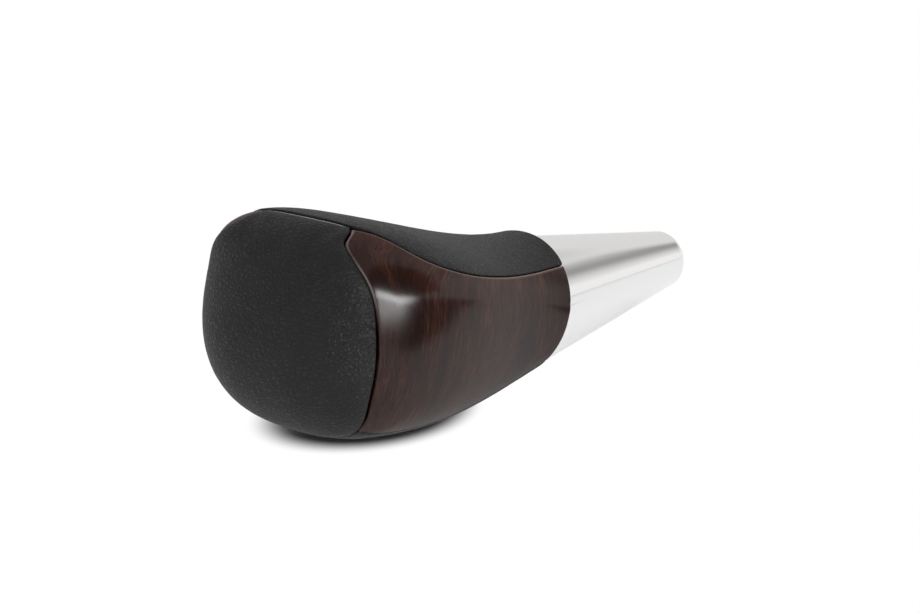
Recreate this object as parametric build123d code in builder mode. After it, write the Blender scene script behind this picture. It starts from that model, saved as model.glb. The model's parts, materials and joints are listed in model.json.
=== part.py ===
"""Gear shift knob: leather and wood head on a moulded core, over a tapered bright sleeve."""

import os
from math import cos, pi, radians, sin

from build123d import *

# Sleeve, measured along its own axis from the open tip to the neck of the head
SLEEVE_LENGTH = 64.7
SLEEVE_TIP_RADIUS = 6.8
SLEEVE_NECK_RADIUS = 13.7
SLEEVE_WALL = 0.9
SLEEVE_EDGE_ROUND = 0.4

# Head, measured from the neck along an axis that leans towards the front of the knob
HEAD_LEAN = 12.0
BROW_HEIGHT = 56.5
DOME_HEIGHT = 19.3
NECK_SIDE_LIP = 0.55
NECK_FACE_LIP = 1.1
BROW_HALF_WIDTH = 22.0
BROW_FRONT_DEPTH = 12.5
BROW_REAR_DEPTH = 24.9
WAIST_WIDTH_SWELL = -0.55
WAIST_FRONT_SWELL = -1.9
WAIST_REAR_SWELL = 4.4
BROW_SQUARENESS = 2.78
DOME_SQUARENESS = 2.4
DOME_FORWARD_SHIFT = 1.25

# Edge of the cap: drops below the crown, and setbacks from the front or the rear of the head
HORN_DROP = 4.6
HORN_SETBACK = 1.53
HORN_ROUND = 1.4
HORN_INNER_REACH = 7.0
SEAM_DROP = 7.4
SEAM_SETBACK = 0.46
CAP_REAR_DROP = 13.8
CAP_REAR_SETBACK = 2.28
CAP_EDGE_BOW = 0.95

# Edges of the side panels: heights above the neck, and setbacks from the front or the rear
FRONT_NECK_SETBACK = 5.4
FRONT_LOWER_HEIGHT = 20.0
FRONT_LOWER_SETBACK = 4.85
FRONT_WAIST_HEIGHT = 38.0
FRONT_WAIST_SETBACK = 5.65
FRONT_SHOULDER_DROP = 10.4
FRONT_SHOULDER_SETBACK = 5.0
REAR_NECK_SETBACK = 6.2
REAR_WAIST_HEIGHT = 17.0
REAR_WAIST_SETBACK = 5.56
REAR_SHOULDER_HEIGHT = 36.0
REAR_SHOULDER_SETBACK = 4.57

# Layers and clearances
LEATHER_THICKNESS = 1.6
PANEL_THICKNESS = 2.6
CORE_WALL = 3.0
SEAT_CLEARANCE = 0.12
SKIRT_CLEARANCE = 0.2
TUCK_GAP = 0.6
SLEEVE_CLEARANCE = 0.15

# Core, cap carrier, insert and fixings
SPIGOT_LENGTH = 30.0
SPIGOT_LEAD_IN = 1.2
SPIGOT_LEAD_DEPTH = 0.4
RIB_THICKNESS = 2.4
RIB_CLEARANCE = 8.0
CAVITY_FLOOR = 46.0
CARRIER_PLATE = 1.6
CARRIER_SKIRT = 4.0
CARRIER_WALL = 2.2
THREAD_CORE_RADIUS = 3.4
THREAD_LEAD_IN = 0.8
INSERT_WALL = 3.0
INSERT_LENGTH = 24.0
INSERT_PROUD = 0.4
INSERT_GROOVES = 2
INSERT_GROOVE_WIDTH = 1.6
INSERT_GROOVE_DEPTH = 0.8
INSERT_CLEARANCE = 0.04
LEVER_END_CLEARANCE = 0.8
LEVER_END_DEPTH = 10.0
LOWER_PEG_HEIGHT = 9.0
UPPER_PEG_HEIGHT = 54.0
PEG_RADIUS = 1.6
PEG_LENGTH = 3.6
PEG_CLEARANCE = 0.1

# Rest: the sleeve lies nearly level, and the rear of the head is pressed flat where it touches the floor
REST_TILT = 1.0
REST_FLAT = 1.0

# Stations of the head's cross sections: shares of the brow height, then of the dome
BODY_STATIONS = (0.0, 0.14, 0.28, 0.42, 0.56, 0.7, 0.85, 1.0)
DOME_STATIONS = (0.4, 0.66, 0.84, 0.94, 0.985, 0.996)
SECTION_POINTS = 32
OUTLINE_STEPS = 150

# Greatest value of share * (1 - share)^2, reached a third of the way up
SWELL_PEAK = 4 / 27

head_length = BROW_HEIGHT + DOME_HEIGHT
neck_half_width = SLEEVE_NECK_RADIUS + NECK_SIDE_LIP
neck_half_depth = SLEEVE_NECK_RADIUS + NECK_FACE_LIP
cap_rear_height = head_length - CAP_REAR_DROP
seam_height = head_length - SEAM_DROP
horn_height = head_length - HORN_DROP
insert_radius = THREAD_CORE_RADIUS + INSERT_WALL
spigot_foot = SLEEVE_LENGTH - SPIGOT_LENGTH

# How far cuts run past the outside of the head, and how far forms run on below the neck
side_reach = head_length
run_out = SLEEVE_NECK_RADIUS * sin(radians(HEAD_LEAN))
mitre_end = SLEEVE_LENGTH + SLEEVE_NECK_RADIUS


def swept_size(neck, brow, swell, share):
    """Size at a share of the brow height: an ease from neck to brow, with a swell near the waist."""
    ease = 3 * share**2 - 2 * share**3
    return neck + (brow - neck) * ease + swell * share * (1 - share) ** 2 / SWELL_PEAK


def section_size(height, inset):
    """Half width, front depth, rear depth, squareness and forward shift of one head section."""
    share = min(max(height / BROW_HEIGHT, 0.0), 1.0)
    rise = max((height - BROW_HEIGHT) / (DOME_HEIGHT - inset), 0.0)
    shrink = (1 - rise**DOME_SQUARENESS) ** (1 / DOME_SQUARENESS)
    half_width = swept_size(neck_half_width, BROW_HALF_WIDTH, WAIST_WIDTH_SWELL, share)
    front = swept_size(neck_half_depth, BROW_FRONT_DEPTH, WAIST_FRONT_SWELL, share)
    rear = swept_size(neck_half_depth, BROW_REAR_DEPTH, WAIST_REAR_SWELL, share)
    squareness = 2 + (BROW_SQUARENESS - 2) * share**2
    sizes = [(size - inset) * shrink for size in (half_width, front, rear)]
    return *sizes, squareness, DOME_FORWARD_SHIFT * rise**2


def face_depths(height):
    """Depth of the head's front and rear in the side view, at a height above the neck."""
    _, front, rear, _, shift = section_size(height, 0)
    return shift + front, shift - rear


def front_point(height, setback):
    """Side-view point (height, depth) that stands back from the front of the head."""
    return height, face_depths(height)[0] - setback


def rear_point(height, setback):
    """Side-view point (height, depth) that stands in from the rear of the head."""
    return height, face_depths(height)[1] + setback


def section_points(height, inset):
    """Points round one head section: a superellipse with its own front and rear depth."""
    half_width, front, rear, squareness, shift = section_size(height, inset)
    points = []
    for step in range(SECTION_POINTS):
        turn = pi / 2 + 2 * pi * step / SECTION_POINTS
        depth = front if sin(turn) >= 0 else rear
        reach = abs(cos(turn) / half_width) ** squareness + abs(sin(turn) / depth) ** squareness
        radius = reach ** (-1 / squareness)
        points.append((radius * cos(turn), shift + radius * sin(turn)))
    return points


def head_outline():
    """Front and rear of the head in the side view, as (depth, distance) from the sleeve's tip."""
    lean = radians(HEAD_LEAN)
    points = []
    for step in range(OUTLINE_STEPS + 1):
        height = head_length * step / OUTLINE_STEPS
        for depth in face_depths(height):
            along = SLEEVE_LENGTH - depth * sin(lean) + height * cos(lean)
            points.append((depth * cos(lean) + height * sin(lean), along))
    return points


def sleeve_radius(along):
    """Outer radius of the sleeve at a distance from its tip."""
    return SLEEVE_TIP_RADIUS + (SLEEVE_NECK_RADIUS - SLEEVE_TIP_RADIUS) * along / SLEEVE_LENGTH


# The knob lies on the back of its head, with the plane Z = 0 under it
rest_tilt = radians(REST_TILT)
head_tilt = rest_tilt + radians(HEAD_LEAN)
crown_reach = min(depth * sin(rest_tilt) - along * cos(rest_tilt) for depth, along in head_outline())
tip_reach = SLEEVE_TIP_RADIUS * sin(rest_tilt)
rear_reach = min(depth * cos(rest_tilt) + along * sin(rest_tilt) for depth, along in head_outline())
tip_centre = Vector(-(crown_reach + tip_reach) / 2, 0, -rear_reach - REST_FLAT)
side_direction = Vector(0, -1, 0)
sleeve_direction = Vector(-cos(rest_tilt), 0, sin(rest_tilt))
head_direction = Vector(-cos(head_tilt), 0, sin(head_tilt))
neck_centre = tip_centre + sleeve_direction * SLEEVE_LENGTH

# Head sections lie across head_plane, side outlines on side_plane as (height, depth), and turned
# profiles on turning_plane as (radius, distance from the tip)
head_plane = Plane(origin=neck_centre, x_dir=side_direction, z_dir=head_direction)
side_plane = Plane(origin=neck_centre, x_dir=head_direction, z_dir=-side_direction)
turning_plane = Plane(
    origin=tip_centre,
    x_dir=Vector(sin(rest_tilt), 0, cos(rest_tilt)),
    z_dir=side_direction,
)
sleeve_axis = Axis(tip_centre, sleeve_direction)


def head_form(inset, from_neck=False):
    """Solid of the head's form, drawn in by an inset, up to the crown from the neck or below it."""
    heights = [-run_out] + [share * BROW_HEIGHT for share in BODY_STATIONS]
    heights += [BROW_HEIGHT + share * (DOME_HEIGHT - inset) for share in DOME_STATIONS]
    with BuildPart() as form:
        for height in heights:
            with BuildSketch(head_plane.offset(height)):
                with BuildLine():
                    Spline(*section_points(height, inset), periodic=True)
                make_face()
        loft()
        if from_neck:
            split(bisect_by=head_plane, keep=Keep.TOP)
    return form.part


def cap_outline(grow):
    """Side view of everything above the cap's edge: a bowed slant at the sides, a seam in front."""
    horn = front_point(horn_height, HORN_SETBACK)
    seam = front_point(seam_height, SEAM_SETBACK)
    rear = rear_point(cap_rear_height, CAP_REAR_SETBACK)
    middle = ((horn[0] + rear[0]) / 2 + CAP_EDGE_BOW, (horn[1] + rear[1]) / 2)
    slope = (horn[0] - rear[0] + 4 * CAP_EDGE_BOW) / (horn[1] - rear[1])
    top = head_length + side_reach
    with BuildSketch() as outline:
        with BuildLine():
            ThreePointArc(rear, middle, horn)
            Polyline(
                horn,
                seam,
                (seam_height, side_reach),
                (top, side_reach),
                (top, -side_reach),
                (rear[0] - slope * (rear[1] + side_reach), -side_reach),
                rear,
            )
        make_face()
        fillet(outline.vertices().sort_by_distance(horn)[0], HORN_ROUND)
        offset(amount=grow)
    return outline.sketch


def panel_outline(grow):
    """Side view of a wood panel: horn at the cap, waisted front edge, bellied rear edge."""
    front = [
        front_point(0, FRONT_NECK_SETBACK - grow),
        front_point(FRONT_LOWER_HEIGHT, FRONT_LOWER_SETBACK - grow),
        front_point(FRONT_WAIST_HEIGHT, FRONT_WAIST_SETBACK - grow),
        front_point(seam_height - FRONT_SHOULDER_DROP, FRONT_SHOULDER_SETBACK - grow),
        front_point(seam_height, SEAM_SETBACK - grow),
    ]
    rear = [
        rear_point(0, REAR_NECK_SETBACK - grow),
        rear_point(REAR_WAIST_HEIGHT, REAR_WAIST_SETBACK - grow),
        rear_point(REAR_SHOULDER_HEIGHT, REAR_SHOULDER_SETBACK - grow),
        rear_point(cap_rear_height, CAP_REAR_SETBACK - grow),
    ]
    cap_edge = cap_outline(-grow)
    with BuildSketch() as outline:
        with BuildLine():
            Spline(*front)
            Polyline(front[-1], (head_length, front[-1][1]), (head_length, rear[-1][1]), rear[-1])
            Spline(*rear)
            Polyline(rear[0], (-run_out, rear[0][1]), (-run_out, front[0][1]), front[0])
        make_face()
        add(cap_edge, mode=Mode.SUBTRACT)
    return outline.sketch


def strip_outline(side):
    """Side view of a leather strip before the panels are cut out: below the cap, front or rear."""
    with BuildSketch() as outline:
        with Locations((side_reach / 2, side * side_reach / 2)):
            Rectangle(2 * side_reach, side_reach)
        add(cap_with_gap, mode=Mode.SUBTRACT)
    return outline.sketch


def insert_profile(grow):
    """Half section of the insert's outside: a bush with grooves that the plastic fills."""
    foot = spigot_foot - INSERT_PROUD
    radius = insert_radius + grow
    with BuildSketch() as profile:
        with Locations((radius / 2, foot + INSERT_LENGTH / 2)):
            Rectangle(radius, INSERT_LENGTH + 2 * grow)
        for groove in range(INSERT_GROOVES):
            middle = foot + INSERT_LENGTH * (groove + 1) / (INSERT_GROOVES + 1)
            with Locations((radius, middle)):
                Rectangle(2 * INSERT_GROOVE_DEPTH, INSERT_GROOVE_WIDTH - 2 * grow, mode=Mode.SUBTRACT)
    return profile.sketch


def peg_root(height):
    """Distance from the middle of the head to the middle of a panel's thickness."""
    return section_size(height, PANEL_THICKNESS / 2)[0]


panel_face = panel_outline(-TUCK_GAP / 2)
panel_with_gap = panel_outline(TUCK_GAP / 2)
cap_face = cap_outline(-TUCK_GAP / 2)
cap_with_gap = cap_outline(TUCK_GAP / 2)

with BuildPart() as outer_form:
    add(head_form(0, from_neck=True))
    split(bisect_by=Plane.XY, keep=Keep.TOP)

leather_inner = head_form(LEATHER_THICKNESS)
leather_seat = head_form(LEATHER_THICKNESS + SEAT_CLEARANCE, from_neck=True)
panel_inner = head_form(PANEL_THICKNESS)
panel_seat = head_form(PANEL_THICKNESS + SEAT_CLEARANCE)
cup_inset = PANEL_THICKNESS + SEAT_CLEARANCE + CORE_WALL
cup_inner = head_form(cup_inset)
skirt_outer = head_form(cup_inset + SKIRT_CLEARANCE)
skirt_inner = head_form(cup_inset + SKIRT_CLEARANCE + CARRIER_WALL)

os.makedirs("parts", exist_ok=True)

# Sleeve: a tapered tube, mitred to the lean of the head
with BuildPart() as chrome_sleeve:
    with BuildSketch(turning_plane):
        with BuildLine():
            Polyline(
                (SLEEVE_TIP_RADIUS - SLEEVE_WALL, 0),
                (SLEEVE_TIP_RADIUS, 0),
                (sleeve_radius(mitre_end), mitre_end),
                (sleeve_radius(mitre_end) - SLEEVE_WALL, mitre_end),
                close=True,
            )
        make_face()
    revolve(axis=sleeve_axis)
    fillet(chrome_sleeve.edges().sort_by(sleeve_axis)[:2], SLEEVE_EDGE_ROUND)
    split(bisect_by=head_plane.offset(-SEAT_CLEARANCE), keep=Keep.BOTTOM)

# Room for the panels on both sides, wider than they are by the tuck gap
with BuildPart() as panel_zones:
    for side in (-1, 1):
        with BuildSketch(side_plane.offset(side * HORN_INNER_REACH)):
            add(panel_with_gap)
        extrude(amount=side * side_reach)

# Wood panels: thin shells with two locating pegs each
panels = {}
for name, side in (("right_wood_panel", -1), ("left_wood_panel", 1)):
    with BuildPart() as panel:
        add(outer_form.part)
        add(panel_inner, mode=Mode.SUBTRACT)
        with BuildSketch(side_plane.offset(side * (HORN_INNER_REACH + TUCK_GAP))):
            add(panel_face)
        extrude(amount=side * side_reach, mode=Mode.INTERSECT)
        for height in (LOWER_PEG_HEIGHT, UPPER_PEG_HEIGHT):
            with BuildSketch(side_plane.offset(side * peg_root(height))):
                with Locations((height, 0)):
                    Circle(PEG_RADIUS)
            extrude(amount=-side * (PANEL_THICKNESS / 2 + PEG_LENGTH))
    panels[name] = panel

# Leather strips in front of the panels and behind them
strips = {}
for name, side in (("front_leather", 1), ("rear_leather", -1)):
    strip_face = strip_outline(side)
    with BuildPart() as strip:
        add(outer_form.part)
        add(leather_inner, mode=Mode.SUBTRACT)
        with BuildSketch(side_plane):
            add(strip_face)
        extrude(amount=side_reach, both=True, mode=Mode.INTERSECT)
        add(panel_zones.part, mode=Mode.SUBTRACT)
    strips[name] = strip

# Cap: leather over a foam pad on a plastic carrier that plugs into the core
with BuildPart() as cap_leather:
    add(outer_form.part)
    add(leather_inner, mode=Mode.SUBTRACT)
    with BuildSketch(side_plane):
        add(cap_face)
    extrude(amount=side_reach, both=True, mode=Mode.INTERSECT)

plate_top = cap_outline(-TUCK_GAP / 2 - CARRIER_PLATE)
pad_face = cap_outline(-TUCK_GAP / 2 - CARRIER_PLATE - SEAT_CLEARANCE)
with BuildPart() as cap_pad:
    add(leather_seat)
    with BuildSketch(side_plane):
        add(pad_face)
    extrude(amount=side_reach, both=True, mode=Mode.INTERSECT)

with BuildPart() as carrier_plate:
    add(leather_seat)
    with BuildSketch(side_plane):
        add(cap_face)
        add(plate_top, mode=Mode.SUBTRACT)
    extrude(amount=side_reach, both=True, mode=Mode.INTERSECT)

skirt_face = cap_outline(CARRIER_SKIRT)
with BuildPart() as cap_carrier:
    add(skirt_outer)
    add(skirt_inner, mode=Mode.SUBTRACT)
    with BuildSketch(side_plane):
        add(skirt_face)
        add(plate_top, mode=Mode.SUBTRACT)
    extrude(amount=side_reach, both=True, mode=Mode.INTERSECT)
    add(carrier_plate.part)

# Insert: grooved metal bush with the lever's thread
insert_face = insert_profile(0)
with BuildPart() as threaded_insert:
    with BuildSketch(turning_plane):
        add(insert_face)
    revolve(axis=sleeve_axis)
    with BuildSketch(turning_plane):
        with Locations((THREAD_CORE_RADIUS / 2, SLEEVE_LENGTH / 2)):
            Rectangle(THREAD_CORE_RADIUS, SLEEVE_LENGTH)
    revolve(axis=sleeve_axis, mode=Mode.SUBTRACT)
    mouth = threaded_insert.edges().filter_by(GeomType.CIRCLE).sort_by(SortBy.RADIUS)[:2]
    chamfer(mouth, THREAD_LEAD_IN)

# Core: head block with seats for the panels, ribbed cup under the cap, and the sleeve's spigot
with BuildPart() as spigot:
    shrink = SLEEVE_WALL + SLEEVE_CLEARANCE
    lead_end = spigot_foot + SPIGOT_LEAD_IN
    with BuildSketch(turning_plane):
        with BuildLine():
            Polyline(
                (0, spigot_foot),
                (sleeve_radius(spigot_foot) - shrink - SPIGOT_LEAD_DEPTH, spigot_foot),
                (sleeve_radius(lead_end) - shrink, lead_end),
                (sleeve_radius(mitre_end) - shrink, mitre_end),
                (0, mitre_end),
                close=True,
            )
        make_face()
    revolve(axis=sleeve_axis)
    split(bisect_by=head_plane, keep=Keep.BOTTOM)

with BuildPart() as panel_pockets:
    add(panel_zones.part)
    add(panel_seat, mode=Mode.SUBTRACT)

rib_top = cap_rear_height - CARRIER_SKIRT - RIB_CLEARANCE
with BuildPart() as cup:
    add(cup_inner)
    with BuildSketch(side_plane):
        with Locations((CAVITY_FLOOR + side_reach, 0)):
            Rectangle(2 * side_reach, 2 * side_reach)
    extrude(amount=side_reach, both=True, mode=Mode.INTERSECT)
    with BuildSketch(head_plane.offset(CAVITY_FLOOR)):
        Rectangle(RIB_THICKNESS, 2 * side_reach)
        Rectangle(2 * side_reach, RIB_THICKNESS)
    extrude(amount=rib_top - CAVITY_FLOOR, mode=Mode.SUBTRACT)

insert_pocket = insert_profile(INSERT_CLEARANCE)
lever_end_radius = THREAD_CORE_RADIUS + LEVER_END_CLEARANCE
lever_end = spigot_foot + INSERT_LENGTH + LEVER_END_DEPTH
with BuildPart() as core:
    add(leather_seat)
    with BuildSketch(side_plane):
        add(cap_with_gap)
    extrude(amount=side_reach, both=True, mode=Mode.SUBTRACT)
    add(panel_pockets.part, mode=Mode.SUBTRACT)
    add(cup.part, mode=Mode.SUBTRACT)
    add(spigot.part)
    with BuildSketch(turning_plane):
        add(insert_pocket)
    revolve(axis=sleeve_axis, mode=Mode.SUBTRACT)
    with BuildSketch(turning_plane):
        with Locations((lever_end_radius / 2, lever_end / 2)):
            Rectangle(lever_end_radius, lever_end)
    revolve(axis=sleeve_axis, mode=Mode.SUBTRACT)
    for side in (-1, 1):
        for height in (LOWER_PEG_HEIGHT, UPPER_PEG_HEIGHT):
            with BuildSketch(side_plane.offset(side * peg_root(height))):
                with Locations((height, 0)):
                    Circle(PEG_RADIUS + PEG_CLEARANCE)
            depth = PANEL_THICKNESS / 2 + PEG_LENGTH + PEG_CLEARANCE
            extrude(amount=-side * depth, mode=Mode.SUBTRACT)

pieces = {
    "chrome_sleeve": chrome_sleeve,
    **panels,
    **strips,
    "cap_leather": cap_leather,
    "cap_pad": cap_pad,
    "cap_carrier": cap_carrier,
    "threaded_insert": threaded_insert,
    "core": core,
}
for name, piece in pieces.items():
    piece.part.label = name
    export_step(piece.part, f"parts/{name}.step")
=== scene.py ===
"""Gear shift knob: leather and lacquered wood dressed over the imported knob, in a plain white studio."""

import json

import bpy
import numpy as np
from bpy.props import FloatProperty, FloatVectorProperty, PointerProperty
from mathutils import Matrix, Quaternion, Vector


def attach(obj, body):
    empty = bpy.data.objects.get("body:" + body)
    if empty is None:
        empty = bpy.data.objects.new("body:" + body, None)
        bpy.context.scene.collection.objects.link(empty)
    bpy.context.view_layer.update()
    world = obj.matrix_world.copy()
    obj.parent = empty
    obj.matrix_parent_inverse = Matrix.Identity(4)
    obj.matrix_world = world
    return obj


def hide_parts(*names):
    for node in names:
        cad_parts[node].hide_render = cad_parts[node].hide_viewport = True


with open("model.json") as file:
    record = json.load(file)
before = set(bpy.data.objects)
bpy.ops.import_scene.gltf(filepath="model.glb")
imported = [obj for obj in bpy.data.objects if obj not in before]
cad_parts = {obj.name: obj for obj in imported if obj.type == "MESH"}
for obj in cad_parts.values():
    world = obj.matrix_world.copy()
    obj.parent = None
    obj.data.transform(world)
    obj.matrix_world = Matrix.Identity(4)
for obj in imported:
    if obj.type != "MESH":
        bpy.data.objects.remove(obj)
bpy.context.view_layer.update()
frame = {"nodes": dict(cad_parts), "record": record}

bl_info = {
    "name": "Shift knob dresser",
    "version": (1, 0, 0),
    "blender": (4, 5, 0),
    "location": "3D View > Sidebar > Shift knob",
    "description": "Leather, wood and chrome surfaces for a gear shift knob",
    "category": "Mesh",
}

MM = 0.001
SWELL_PEAK = 4 / 27
WAVE_HEIGHT = 0.018 * MM
WHITE = (1.0, 1.0, 1.0, 1.0)
FOAM_SHADE = (0.01, 0.01, 0.01, 1.0)
lever_mount = frame["record"]["mounts"][0]


def length(name, words, millimetres):
    """A length property, given in millimetres and kept in metres."""
    return FloatProperty(name=name, description=words, default=millimetres * MM, unit="LENGTH")


def number(name, words, value):
    """A plain number property."""
    return FloatProperty(name=name, description=words, default=value)


def colour(name, words, value):
    """A linear colour property."""
    return FloatVectorProperty(name=name, description=words, default=value, size=3, subtype="COLOR")


def direction(name, words, value):
    """A direction property."""
    return FloatVectorProperty(name=name, description=words, default=value, subtype="DIRECTION")


class KnobHeadShape(bpy.types.PropertyGroup):
    """Sizes of the head's form, from the neck to the crown."""

    lean: FloatProperty(
        name="Lean", description="Lean of the head to the front", subtype="ANGLE", default=np.radians(12)
    )
    brow_height: length("Brow height", "Height of the widest section above the neck", 56.5)
    dome_height: length("Dome height", "Height of the rounded end above the brow", 19.3)
    neck_half_width: length("Neck half width", "Half width of the head at the neck", 14.25)
    neck_half_depth: length("Neck half depth", "Half depth of the head at the neck", 14.8)
    brow_half_width: length("Brow half width", "Half width at the brow", 22.0)
    brow_front_depth: length("Brow front depth", "Reach of the brow to the front", 12.5)
    brow_rear_depth: length("Brow rear depth", "Reach of the brow to the rear", 24.9)
    width_swell: length("Width swell", "Swell of the width at the waist", -0.55)
    front_swell: length("Front swell", "Swell of the front at the waist", -1.9)
    rear_swell: length("Rear swell", "Swell of the rear at the waist", 4.4)
    squareness: number("Squareness", "Superellipse power of the section at the brow", 2.78)
    dome_squareness: number("Dome squareness", "Superellipse power of the dome's profile", 2.4)
    dome_shift: length("Dome shift", "Forward shift of the crown", 1.25)


class KnobTrim(bpy.types.PropertyGroup):
    """Edges of the leather and wood pieces on the head."""

    seam_height: length("Seam height", "Height of the seam's ends, between cap and front strip", 67.3)
    seam_depth: length("Seam depth", "Depth of the seam's ends", 11.05)
    seam_rise: number("Seam rise", "Rise of the seam for each step of depth, towards its middle", 2.4)
    horn_height: length("Horn height", "Height of the panel's horn", 71.75)
    horn_depth: length("Horn depth", "Depth of the panel's horn", 7.0)
    cap_rear_height: length("Cap rear height", "Height of the cap's edge at the rear of the panels", 61.8)
    cap_rear_depth: length("Cap rear depth", "Depth of the rear end of the panels", -22.0)
    gap: length("Tuck gap", "Gap between neighbouring pieces", 0.17)
    rear_opening: length("Rear opening", "How much wider the gap at the cap's edge is to the rear", 0.2)
    panel_thickness: length("Panel thickness", "Thickness of the wood panels", 2.6)
    panel_round: length("Panel edge", "Radius of the panels' rounded edges", 0.34)
    panel_sink: length("Panel sink", "How far the panels sink in at the cap's edge", 0.28)
    sink_reach: length("Sink reach", "Distance from the cap's edge over which the panels sink", 5.0)
    sink_border: length("Sink border", "Border along the front edge where they sink less", 4.0)
    leather_thickness: length("Leather thickness", "Thickness of the leather", 1.6)
    leather_round: length("Leather edge", "Radius of the leather's rounded edges", 0.32)
    leather_puff: length("Leather puff", "How far the strips swell above the form", 0.22)
    seam_reach: length("Seam reach", "Distance from the seam over which the front strip swells more", 14.0)
    cap_puff: length("Cap puff", "How far the padded cap swells above the form", 0.28)
    pillow: length("Pillow", "Further swell of the cap beside the horns", 0.65)
    pillow_reach: length("Pillow reach", "Distance from the cap's edge to the top of that swell", 1.6)
    pillow_width: length("Pillow width", "Depth range of that swell to each side of the horn", 4.2)
    puff_reach: length("Puff reach", "Distance from the cap's edge over which it swells", 3.5)
    fold_middle: length("Fold middle", "Distance from the seam to the middle of the folded lip", 0.52)
    fold_half_width: length("Fold half width", "Half width of the folded lip", 0.57)
    pad_gap: length("Pad gap", "Gap between the cap's leather and its pad", 0.12)
    pad_lift: length("Pad lift", "Height of the pad's edge above the cap's edge", 2.2)
    pad_round: length("Pad edge", "Radius of the pad's rounded edge", 0.8)
    pad_thickness: length("Pad thickness", "Thickness of the pad", 3.0)


class KnobSleeve(bpy.types.PropertyGroup):
    """Sizes of the sleeve and of the threaded insert."""

    sleeve_length: length("Sleeve length", "Length from the open tip to the neck", 64.7)
    tip_radius: length("Tip radius", "Outer radius at the open tip", 6.8)
    neck_radius: length("Neck radius", "Outer radius at the neck", 13.7)
    wall: length("Wall", "Wall of the sleeve", 0.9)
    edge_round: length("Edge round", "Radius of the tip's edges", 0.4)
    seat_gap: length("Seat gap", "Gap between the sleeve and the head", 0.12)
    insert_from_tip: length("Insert", "Distance from the tip to the insert's foot", 34.3)
    insert_length: length("Insert length", "Length of the insert", 24.0)
    insert_radius: length("Insert radius", "Outer radius of the insert", 6.4)
    thread_pitch: length("Thread pitch", "Pitch of the lever's thread", 1.25)
    thread_depth: length("Thread depth", "Depth of the thread's grooves", 0.6)
    lead_in: length("Lead in", "Chamfer at the ends of the thread", 0.8)
    foot_chamfer: length("Foot chamfer", "Chamfer round the insert's foot", 0.25)


class KnobFinish(bpy.types.PropertyGroup):
    """Colours of the finishes."""

    leather_dark: colour("Leather, dark", "Leather in the grain's valleys", (0.0072, 0.0072, 0.0075))
    leather_light: colour("Leather, light", "Leather on the grain's pebbles", (0.0215, 0.0215, 0.0218))
    # Painted highlight: a pale colour for the cap's folded lip at the seam, where its edge catches the
    # light.
    leather_lip_highlight: colour("Leather, fold", "Folded edge of the cap at the seam", (0.6, 0.59, 0.58))
    wood_dark: colour("Wood, dark", "Pores and dark streaks", (0.0075, 0.0032, 0.0025))
    wood_middle: colour("Wood, middle", "Main tone of the wood", (0.0445, 0.0132, 0.009))
    wood_light: colour("Wood, light", "Light streaks", (0.15, 0.054, 0.033))
    # Painted highlights: the pale bevel colour and the brighter glint stand in for light mirrored by the
    # lacquered edges.
    wood_bevel_highlight: colour("Wood, bevel", "Polished bevel of the panels", (0.34, 0.25, 0.225))
    wood_glint: colour("Wood, glint", "Brightest stretch of the bevel, below the horn", (0.9, 0.84, 0.82))
    chrome: colour("Chrome", "Mirror tone of the sleeve", (0.86, 0.86, 0.865))
    alloy: colour("Alloy", "Dark coat of the cast core", (0.016, 0.016, 0.017))
    plastic: colour("Plastic", "Moulded carrier of the cap", (0.012, 0.012, 0.012))
    steel: colour("Steel", "Threaded insert", (0.42, 0.42, 0.43))
    foam: colour("Foam", "Pad under the cap", (0.05, 0.05, 0.053))


class KnobStudio(bpy.types.PropertyGroup):
    """Light levels and the camera."""

    lens: number("Lens", "Focal length in millimetres", 58.7)
    camera_place: FloatVectorProperty(
        name="Camera", description="Camera from the sleeve's tip", subtype="XYZ", unit="LENGTH",
        default=(-313.3 * MM, -156.7 * MM, 78.0 * MM),
    )
    camera_sight: direction("Sight", "Direction that the camera looks in", (0.7997, 0.5426, -0.2571))
    camera_side: direction("Side", "Direction to the right of the picture", (0.5730, -0.8175, 0.0574))
    sky_level: number("Sky level", "Level of the light from all round", 0.13)
    top_power: number("Top light", "Power of the large softbox overhead, in watts", 10.8)
    strip_power: number("Strip light", "Power of the low strip light at the side, in watts", 0.9)
    # Painted shadow: this dim paper is what the camera sees inside the shadow's ellipse on the floor.
    painted_shadow_paper: number("Paper, seen", "Whiteness of the floor where the camera sees it", 0.55)
    paper_plain: number("Paper, plain", "Whiteness of the floor as it lights the knob", 0.6)
    paper_mirrored: number("Paper, mirrored", "Whiteness of the floor in mirrors", 0.35)
    mirror_glow: number("Mirror glow", "Even light of the floor in mirrors", 0.63)


def smooth_curve(knots, values, at):
    """Natural cubic spline: through (knots, values), with no bend at its two ends, read at any points."""
    knots = np.asarray(knots, float)
    values = np.asarray(values, float)
    step = np.diff(knots)
    slope = np.diff(values) / step
    matrix = np.eye(len(knots))
    right = np.zeros(len(knots))
    inner = np.arange(1, len(knots) - 1)
    matrix[inner, inner - 1] = step[:-1]
    matrix[inner, inner] = 2 * (step[:-1] + step[1:])
    matrix[inner, inner + 1] = step[1:]
    right[inner] = 6 * np.diff(slope)
    bend = np.linalg.solve(matrix, right)
    at = np.asarray(at, float)
    k = np.clip(np.searchsorted(knots, at) - 1, 0, len(step) - 1)
    s = at - knots[k]
    first = slope[k] - step[k] * (2 * bend[k] + bend[k + 1]) / 6
    return values[k] + s * (first + s * (bend[k] / 2 + s * (bend[k + 1] - bend[k]) / (6 * step[k])))


def clustered(count, border, rows):
    """Parameters from 0 to 1 with extra rows inside a border share at each end."""
    edge = border * np.linspace(0, 1, rows, endpoint=False) ** 1.5
    return np.concatenate([edge, np.linspace(border, 1 - border, count), 1 - edge[::-1]])


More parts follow.
